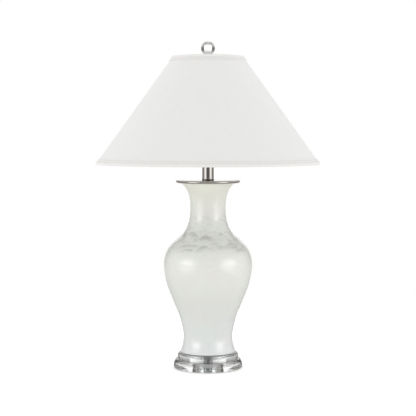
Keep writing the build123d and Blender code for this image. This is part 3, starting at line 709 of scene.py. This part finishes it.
def drilled(piece, drills):
    """Cuts round holes along +Y through a piece: each is (radius, height, start, end)."""
    for radius, height, start, end in drills:
        cutter = lathe("drill", [(0, start), (radius, start), (radius, end), (0, end)], False, 48)
        cutter.data.transform(Matrix.Rotation(math.radians(-90), 4, "X"))
        cutter.data.transform(Matrix.Translation((0, 0, height)))
        cut = piece.modifiers.new("drill", "BOOLEAN")
        cut.operation = "DIFFERENCE"
        cut.solver = "EXACT"
        cut.object = cutter
        shape = piece.evaluated_get(bpy.context.evaluated_depsgraph_get())
        mesh = bpy.data.meshes.new_from_object(shape)
        piece.modifiers.clear()
        piece.data = mesh
        bpy.data.objects.remove(cutter)
    piece.data.set_sharp_from_angle(angle=math.radians(35))


def lower_tier():
    """Lower tier turned from its CAD outline, with the cord channel cut through to the recess."""
    piece = turned_copy("acrylic_lower_tier", "base_lower_tier", "stand", 192)
    low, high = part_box("cord_bushing")
    height = (low.z + high.z) / 2
    flange = (high.z - low.z) / 2
    bushing = frame["nodes"]["cord_bushing"].data.vertices
    spots = [(v.co.y, math.hypot(v.co.x, v.co.z - height)) for v in bushing]
    channel = max(reach for y, reach in spots if y < low.y + MM)
    seat = min(y for y, reach in spots if reach > channel + 0.5 * MM)
    bottom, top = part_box("base_lower_tier")
    recess = min(r for r, z in section("base_lower_tier")[0] if z < bottom.z + 0.1 * MM)
    past = top.y + 2 * MM
    drilled(piece, ((channel, height, recess - 2 * MM, past), (flange, height, seat, past)))
    finish_piece(piece, "clear_acrylic")
    machined_faces(piece, recess + 0.2 * MM, (flange + 0.1 * MM, height))
    return piece


def upper_tier():
    """Upper tier turned from its CAD outline, with a machined bore."""
    piece = turned_copy("acrylic_upper_tier", "base_upper_tier", "stand", 192)
    finish_piece(piece, "clear_acrylic")
    machined_faces(piece, PIPE_BORE_LIMIT)
    return piece


def threaded_pipe():
    """Lamp pipe with its thread cut where it shows, through the clear base."""
    low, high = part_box("lamp_pipe")
    radius = high.x
    bore = min(r for r, z in section("lamp_pipe")[0])
    thread_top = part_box("vase_body")[0].z + 8 * MM
    step = THREAD_PITCH / THREAD_ROWS
    count = int((thread_top - low.z) / step)
    outline = [(bore, high.z), (bore, low.z), (radius - THREAD_DEPTH, low.z)]
    plain = len(outline)
    outline += [(radius, low.z + 0.5 * MM + index * step) for index in range(count)]
    outline += [(radius, thread_top + 2 * MM), (radius, high.z)]

    def cut(r, z, angle, index):
        if index < plain or z > thread_top:
            return r, z
        turn = (z / THREAD_PITCH - angle / TAU) % 1.0
        return radius - THREAD_DEPTH * abs(2 * turn - 1), z

    piece = lathe("threaded_lamp_pipe", outline, True, 48, cut, 60)
    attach(piece, "stand")
    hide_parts("lamp_pipe")
    return finish_piece(piece, "zinc_steel")


# ---------------------------------------------------------------- vase and neck
def vase():
    """Glazed body with the slight unevenness of hand-finished ware."""
    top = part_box("vase_body")[1].z
    reach, lumps, even_rim = 0.12 * MM, 16, 30 * MM

    def uneven(r, z, angle, index):
        spot = Vector((math.cos(angle) * r, math.sin(angle) * r, z)) * lumps
        below_rim = min(1.0, max(0.0, (top - z) / even_rim))
        return r + reach * below_rim * noise.noise(spot), z

    piece = turned_copy("vase_glazed", "vase_body", "stand", 224, uneven)
    return finish_piece(piece, "pearl_glaze")


def collar_nickel():
    """Satin nickel, with painted shade over its lowest 2 mm for the gap where the collar stands on the
    cap.
    """
    made = metal("collar_nickel", rgb(0.66, 0.63, 0.60), 0.3, 1.0, 0.04)
    tree = made.node_tree
    shader = tree.nodes["Principled BSDF"]
    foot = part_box("neck_check_ring")[0].z
    # Painted shade: below this height the colour drops to a tenth, for the gap at the collar's foot.
    gap = between(tree, object_height(tree), foot + 1.7 * MM, foot + 2.2 * MM, 0.1, 1.0)
    plain = shader.inputs["Base Color"].links[0].from_socket
    tree.links.new(tinted(tree, plain, gap), shader.inputs["Base Color"])
    return made


def neck():
    """Cap on the vase's mouth, the collar standing on it, and the tube above."""
    for name, node in (
        ("cap_polished", "vase_cap"),
        ("neck_collar", "neck_check_ring"),
        ("neck_polished", "neck_tube"),
    ):
        piece = turned_copy(name, node, "stand", 192)
        finish_piece(piece, "polished_nickel")
        if name == "neck_collar":
            piece.data.materials[0] = collar_nickel()


# ---------------------------------------------------------------- shade
def shade_cone():
    """Outer edges of the cloth cone as (radius, height): the bottom one and the top one."""
    points = section("shade_fabric")[0]
    bottom = max(points)
    highest = max(z for r, z in points)
    top = max(point for point in points if highest - point[1] < 1.5 * MM)
    return bottom, top


def shade_cloth():
    """Cloth laminated on the liner: one sheet wrapped round, glued along a seam at the back."""
    bottom, top = shade_cone()
    slant = math.hypot(bottom[0] - top[0], top[1] - bottom[1])
    lean = (bottom[0] - top[0]) / slant
    rise = (top[1] - bottom[1]) / slant
    apex_bottom = bottom[0] / lean
    rows, steps = 48, 360
    vertices, faces, uvs, flat = [], [], [], []
    for side in (0, 1):
        for row in range(rows + 1):
            share = row / rows
            for step in range(steps + 1):
                angle = math.pi / 2 + TAU * step / steps
                spot = Vector((math.cos(angle), math.sin(angle), share * 1.7)) * 3.0
                wave = CLOTH_WAVE * noise.noise(spot) * math.sin(math.pi * share)
                out = wave - side * CLOTH_THICKNESS
                radius = bottom[0] + (top[0] - bottom[0]) * share + out * rise
                height = bottom[1] + (top[1] - bottom[1]) * share + out * lean
                vertices.append((radius * math.cos(angle), radius * math.sin(angle), height))
                reach = apex_bottom - slant * share
                spread = (TAU * step / steps - math.pi) * lean
                flat.append((reach * math.sin(spread), reach * math.cos(spread)))
    width = steps + 1

    def at(side, row, step):
        return side * (rows + 1) * width + row * width + step

    def face(*corners):
        faces.append(list(corners))
        uvs.extend(flat[corner] for corner in corners)

    for row in range(rows):
        for step in range(steps):
            a, b = at(0, row, step), at(0, row, step + 1)
            c, d = at(0, row + 1, step + 1), at(0, row + 1, step)
            face(a, b, c, d)
            e, f = at(1, row, step), at(1, row, step + 1)
            g, h = at(1, row + 1, step + 1), at(1, row + 1, step)
            face(h, g, f, e)
    for step in range(steps):
        face(at(1, 0, step), at(1, 0, step + 1), at(0, 0, step + 1), at(0, 0, step))
        face(at(0, rows, step), at(0, rows, step + 1), at(1, rows, step + 1), at(1, rows, step))
    for row in range(rows):
        face(at(1, row, 0), at(0, row, 0), at(0, row + 1, 0), at(1, row + 1, 0))
        face(at(0, row, steps), at(1, row, steps), at(1, row + 1, steps), at(0, row + 1, steps))
    piece = mesh_piece("shade_cloth_cover", vertices, faces, uvs, 50)
    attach(piece, "shade")
    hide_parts("shade_fabric")
    finish_piece(piece, "shade_cloth")
    angle = TAU * lean
    return piece


def bound_edge(name, node, steps):
    """Bias-cut binding of one edge, with the small puckers of cloth drawn round a ring."""
    points, closed = section(node)
    outline = smooth_outline(points, closed, 3)
    widest = max(r for r, z in outline)
    outward, upward, slow_reach = 0.10 * MM, 0.06 * MM, 0.08 * MM

    def pucker(r, z, angle, index):
        fine = noise.noise(Vector((math.cos(angle), math.sin(angle), z * 4)) * widest * 160)
        slow = noise.noise(Vector((math.cos(angle) * 5, math.sin(angle) * 5, z * 30)))
        return r + outward * fine + slow_reach * slow, z + upward * fine

    piece = lathe(name, outline, closed, steps, pucker, 50)
    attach(piece, "shade")
    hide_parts(node)
    finish_piece(piece, "trim_cloth")


# ---------------------------------------------------------------- finial
def ball():
    """Crystal ball of the finial."""
    piece = turned_copy("crystal_ball", "finial_ball", "finial", 128, None, 2)
    return finish_piece(piece, "crystal")


# ---------------------------------------------------------------- everything
def carried_over():
    """CAD nodes whose shape is right keep it, and get this script's materials."""
    slots = {p["node"]: p["material_slot"] for p in frame["record"]["subparts"]}
    for node, piece in frame["nodes"].items():
        for index in range(len(piece.material_slots)):
            piece.material_slots[index].material = MATERIALS[slots[node]]


# ---------------------------------------------------------------- studio
def side_levels(tree, way, height, rays):
    """Grey level by direction: walls, floor below, ceiling above, and the white sweep behind.

    The wall behind the lamp is darker in reflections, and the ceiling brighter through glass.
    """
    level_way = add_node(
        tree, "VectorMath", {0: scaled(tree, way, (1.0, 1.0, 0.0))}, operation="NORMALIZE"
    )
    back = part_of(tree, "Y", level_way.outputs[0])
    walls = between(tree, back, -0.97, -0.5, WALL_BY_CAMERA, WALL)
    behind = between(tree, back, 0.2, 0.6, 0.0, rays["Is Glossy Ray"])
    walls = blend_levels(tree, behind, walls, WALL_BEHIND)
    down = between(tree, height, -0.12, -0.04, 1.0, 0.0)
    level = blend_levels(tree, down, walls, FLOOR_GLOW)
    up = between(tree, height, 0.2, 0.6)
    above = blend_levels(tree, rays["Is Transmission Ray"], CEILING, CEILING_THROUGH)
    level = blend_levels(tree, up, level, above)
    sweep = between(tree, back, *SWEEP_EDGE)
    sweep = maths(tree, "MULTIPLY", sweep, maths(tree, "SUBTRACT", 1.0, up))
    return blend_levels(tree, sweep, level, BACKDROP)


def lamp_level(tree, way, height, azimuth, elevation):
    """Brightness that one soft lamp adds, by direction."""
    turn, rise = math.radians(azimuth), math.radians(elevation)
    toward = (
        math.sin(turn) * math.cos(rise),
        -math.cos(turn) * math.cos(rise),
        math.sin(rise),
    )
    near = add_node(tree, "VectorMath", {0: way, 1: toward}, operation="DOT_PRODUCT")
    edge, core = math.cos(math.radians(LAMP_EDGE)), math.cos(math.radians(LAMP_CORE))
    glow = between(tree, near.outputs["Value"], edge, core)
    glow = maths(tree, "MULTIPLY", glow, between(tree, height, *LAMP_LOW, LAMP_LOW_SHARE, 1.0))
    return maths(tree, "MULTIPLY", glow, LAMP_GLOW)


def world():
    """Plain studio as a glow by direction, fixed to the room and not to the camera.

    Reflections and clear matter see grey sides, a white sweep behind and two soft lamps in front.
    Surfaces are lit by an even fill, a little stronger from the sides. Seen straight, it is white.
    """
    made = bpy.data.worlds.new("studio")
    bpy.context.scene.world = made
    made.use_nodes = True
    tree = made.node_tree
    tree.nodes.clear()
    way = add_node(tree, "TexCoord").outputs["Generated"]
    height = part_of(tree, "Z", way)
    rays = add_node(tree, "LightPath").outputs

    level = side_levels(tree, way, height, rays)
    warmth = mixed(tree, between(tree, level, 0.2, 0.9), WARM_DARKS, WHITE)
    seen = tinted(tree, warmth, level)
    for azimuth, elevation in LAMPS:
        added = grey_of(tree, lamp_level(tree, way, height, azimuth, elevation))
        seen = mixed(tree, 1.0, seen, added, "ADD")
    across = part_of(tree, "X", way)
    sides = maths(tree, "MULTIPLY", across, across)
    fill = grey_of(tree, maths(tree, "MULTIPLY_ADD", sides, SIDE_FILL, FILL))
    colour = mixed(tree, rays["Is Diffuse Ray"], seen, fill)
    colour = mixed(tree, rays["Is Camera Ray"], colour, WHITE)
    background = add_node(tree, "Background", {"Color": colour, "Strength": 1.0})
    output = add_node(tree, "OutputWorld")
    tree.links.new(background.outputs[0], output.inputs["Surface"])


def floor_material():
    """Pale floor that runs into the backdrop to the eye, with soft contact shade, and shows as
    dull with the white sweep behind in reflections and through clear matter."""
    made = bpy.data.materials.new("studio_floor")
    made.use_nodes = True
    tree = made.node_tree
    tree.nodes.clear()
    place = object_place(tree)
    grain = noise_of(tree, place, 3.0, 2.0)
    lit = mixed(tree, grain, rgb(0.86, 0.86, 0.86), rgb(0.88, 0.88, 0.88))
    pale = add_node(tree, "BsdfDiffuse", {"Color": lit})
    glow = add_node(tree, "Emission", {"Color": WHITE, "Strength": FLOOR_LIFT})
    seen = add_node(tree, "AddShader", {0: pale.outputs[0], 1: glow.outputs[0]})
    where = add_node(tree, "VectorMath", {0: place}, operation="NORMALIZE")
    sweep = between(tree, part_of(tree, "Y", where.outputs[0]), *SWEEP_EDGE)
    dull = add_node(tree, "Emission", {"Color": rgb(FLOOR_GLOW, FLOOR_GLOW, FLOOR_GLOW * 0.97)})
    white = add_node(tree, "Emission", {"Color": WHITE, "Strength": BACKDROP})
    mirrored = add_node(tree, "MixShader", {0: sweep, 1: dull.outputs[0], 2: white.outputs[0]})
    rays = add_node(tree, "LightPath").outputs
    spread = add_node(
        tree,
        "MixShader",
        {0: rays["Is Diffuse Ray"], 1: mirrored.outputs[0], 2: pale.outputs[0]},
    )
    surface = add_node(
        tree, "MixShader", {0: rays["Is Camera Ray"], 1: spread.outputs[0], 2: seen.outputs[0]}
    )
    output = add_node(tree, "OutputMaterial")
    tree.links.new(surface.outputs[0], output.inputs["Surface"])
    return made


def floor():
    """Square floor under the lamp."""
    mesh = bpy.data.meshes.new("studio_floor")
    corners = [(x * FLOOR_HALF, y * FLOOR_HALF, 0) for x, y in ((-1, -1), (1, -1), (1, 1), (-1, 1))]
    mesh.from_pydata(corners, [], [(0, 1, 2, 3)])
    mesh.materials.append(floor_material())
    piece = bpy.data.objects.new("studio_floor", mesh)
    bpy.context.scene.collection.objects.link(piece)


def camera():
    """Camera in front, at the height of the shade, tipped down a little, with a long lens."""
    data = bpy.data.cameras.new("camera")
    made = bpy.data.objects.new("camera", data)
    bpy.context.scene.collection.objects.link(made)
    data.sensor_width = CAMERA_SENSOR
    data.lens = CAMERA_LENS
    data.clip_end = 50
    made.location = CAMERA_PLACE
    made.rotation_euler = (math.radians(90 - CAMERA_TIP), 0, 0)
    bpy.context.scene.camera = made


carried_over()
lower_tier()
upper_tier()
threaded_pipe()
vase()
neck()
shade_cloth()
bound_edge("shade_top_binding", "shade_top_trim", 360)
bound_edge("shade_bottom_binding", "shade_bottom_trim", 720)
ball()
world()
floor()
camera()
bpy.context.scene.view_settings.view_transform = "Standard"
